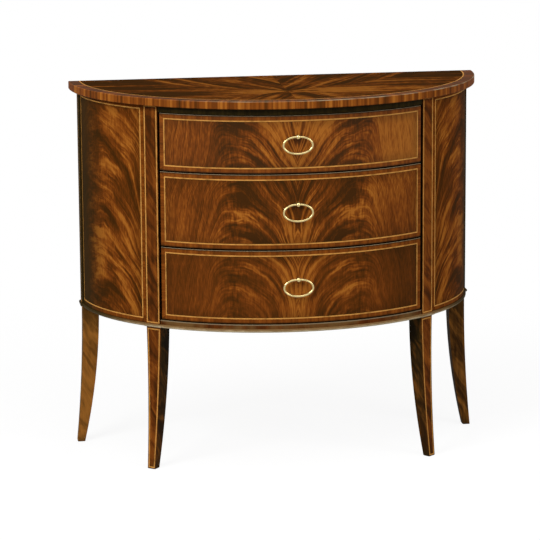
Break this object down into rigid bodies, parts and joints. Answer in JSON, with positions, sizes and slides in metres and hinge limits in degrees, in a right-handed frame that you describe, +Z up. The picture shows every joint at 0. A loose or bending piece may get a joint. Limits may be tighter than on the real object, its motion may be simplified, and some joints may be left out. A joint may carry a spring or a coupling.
{
  "type": "demilune chest of drawers",
  "caption": "Half-round veneered chest on sabre legs: bowed drawers that slide out, each with a swinging oval ring pull, and fixed curved sides.",
  "frame": {"origin": "on the floor, under the middle of the whole object", "axes": "+X to the right seen from the front, +Y towards the flat back, +Z up; the drawers slide out along -Y"},
  "size_m": [1.016, 0.4349, 0.914],
  "materials": {
    "flame_veneer": "figured mahogany veneer, polished to a satin gloss",
    "crossband": "cross-grained mahogany, polished",
    "mahogany": "solid mahogany, polished",
    "light_line": "satinwood line under the same polish",
    "drawer_lining": "pale hardwood, waxed",
    "case_wood": "planed secondary wood, unpolished",
    "back_board": "stained board",
    "brass": "polished",
    "screw_steel": "plain"
  },
  "bodies": {
    "case": {"back_panel": "back_board", "back_screws": "screw_steel", "base_bead": "mahogany", "bottom_board": "case_wood", "bottom_rail": "mahogany", "drawer_guides": "case_wood", "drawer_stops": "case_wood", "front_left_leg": "mahogany", "front_right_leg": "mahogany", "kickers": "case_wood", "left_panel_stringing": "light_line", "left_side_panel": "flame_veneer", "leg_stringing": "light_line", "lower_divider": "case_wood", "lower_dust_board": "case_wood", "lower_runners": "case_wood", "post_stringing": "light_line", "rear_left_leg": "mahogany", "rear_right_leg": "mahogany", "right_panel_stringing": "light_line", "right_side_panel": "flame_veneer", "top_board": "flame_veneer", "top_border": "crossband", "top_rail": "mahogany", "top_screws": "screw_steel", "top_stringing": "light_line", "upper_divider": "case_wood", "upper_dust_board": "case_wood", "upper_runners": "case_wood"},
    "top_drawer": {"top_drawer_back": "drawer_lining", "top_drawer_base": "drawer_lining", "top_drawer_front": "flame_veneer", "top_drawer_left_side": "drawer_lining", "top_drawer_right_side": "drawer_lining", "top_drawer_stringing": "light_line", "top_pull_nut": "brass", "top_pull_post": "brass"},
    "top_ring": {"top_pull_ring": "brass"},
    "middle_drawer": {"middle_drawer_back": "drawer_lining", "middle_drawer_base": "drawer_lining", "middle_drawer_front": "flame_veneer", "middle_drawer_left_side": "drawer_lining", "middle_drawer_right_side": "drawer_lining", "middle_drawer_stringing": "light_line", "middle_pull_nut": "brass", "middle_pull_post": "brass"},
    "middle_ring": {"middle_pull_ring": "brass"},
    "bottom_drawer": {"bottom_drawer_back": "drawer_lining", "bottom_drawer_base": "drawer_lining", "bottom_drawer_front": "flame_veneer", "bottom_drawer_left_side": "drawer_lining", "bottom_drawer_right_side": "drawer_lining", "bottom_drawer_stringing": "light_line", "bottom_pull_nut": "brass", "bottom_pull_post": "brass"},
    "bottom_ring": {"bottom_pull_ring": "brass"}
  },
  "joints": [
    {"name": "top_drawer_slide", "type": "slide", "parent": "case", "child": "top_drawer", "axis": [0, -1, 0], "range_m": [0, 0.22]},
    {"name": "top_ring_swing", "type": "hinge", "parent": "top_drawer", "child": "top_ring", "pos_m": [0, -0.2045, 0.82642], "axis": [-1, 0, 0], "range_deg": [-8, 188]},
    {"name": "middle_drawer_slide", "type": "slide", "parent": "case", "child": "middle_drawer", "axis": [0, -1, 0], "range_m": [0, 0.22]},
    {"name": "middle_ring_swing", "type": "hinge", "parent": "middle_drawer", "child": "middle_ring", "pos_m": [0, -0.2045, 0.66388], "axis": [-1, 0, 0], "range_deg": [-8, 188]},
    {"name": "bottom_drawer_slide", "type": "slide", "parent": "case", "child": "bottom_drawer", "axis": [0, -1, 0], "range_m": [0, 0.22]},
    {"name": "bottom_ring_swing", "type": "hinge", "parent": "bottom_drawer", "child": "bottom_ring", "pos_m": [0, -0.2045, 0.48146], "axis": [-1, 0, 0], "range_deg": [-8, 188]}
  ]
}
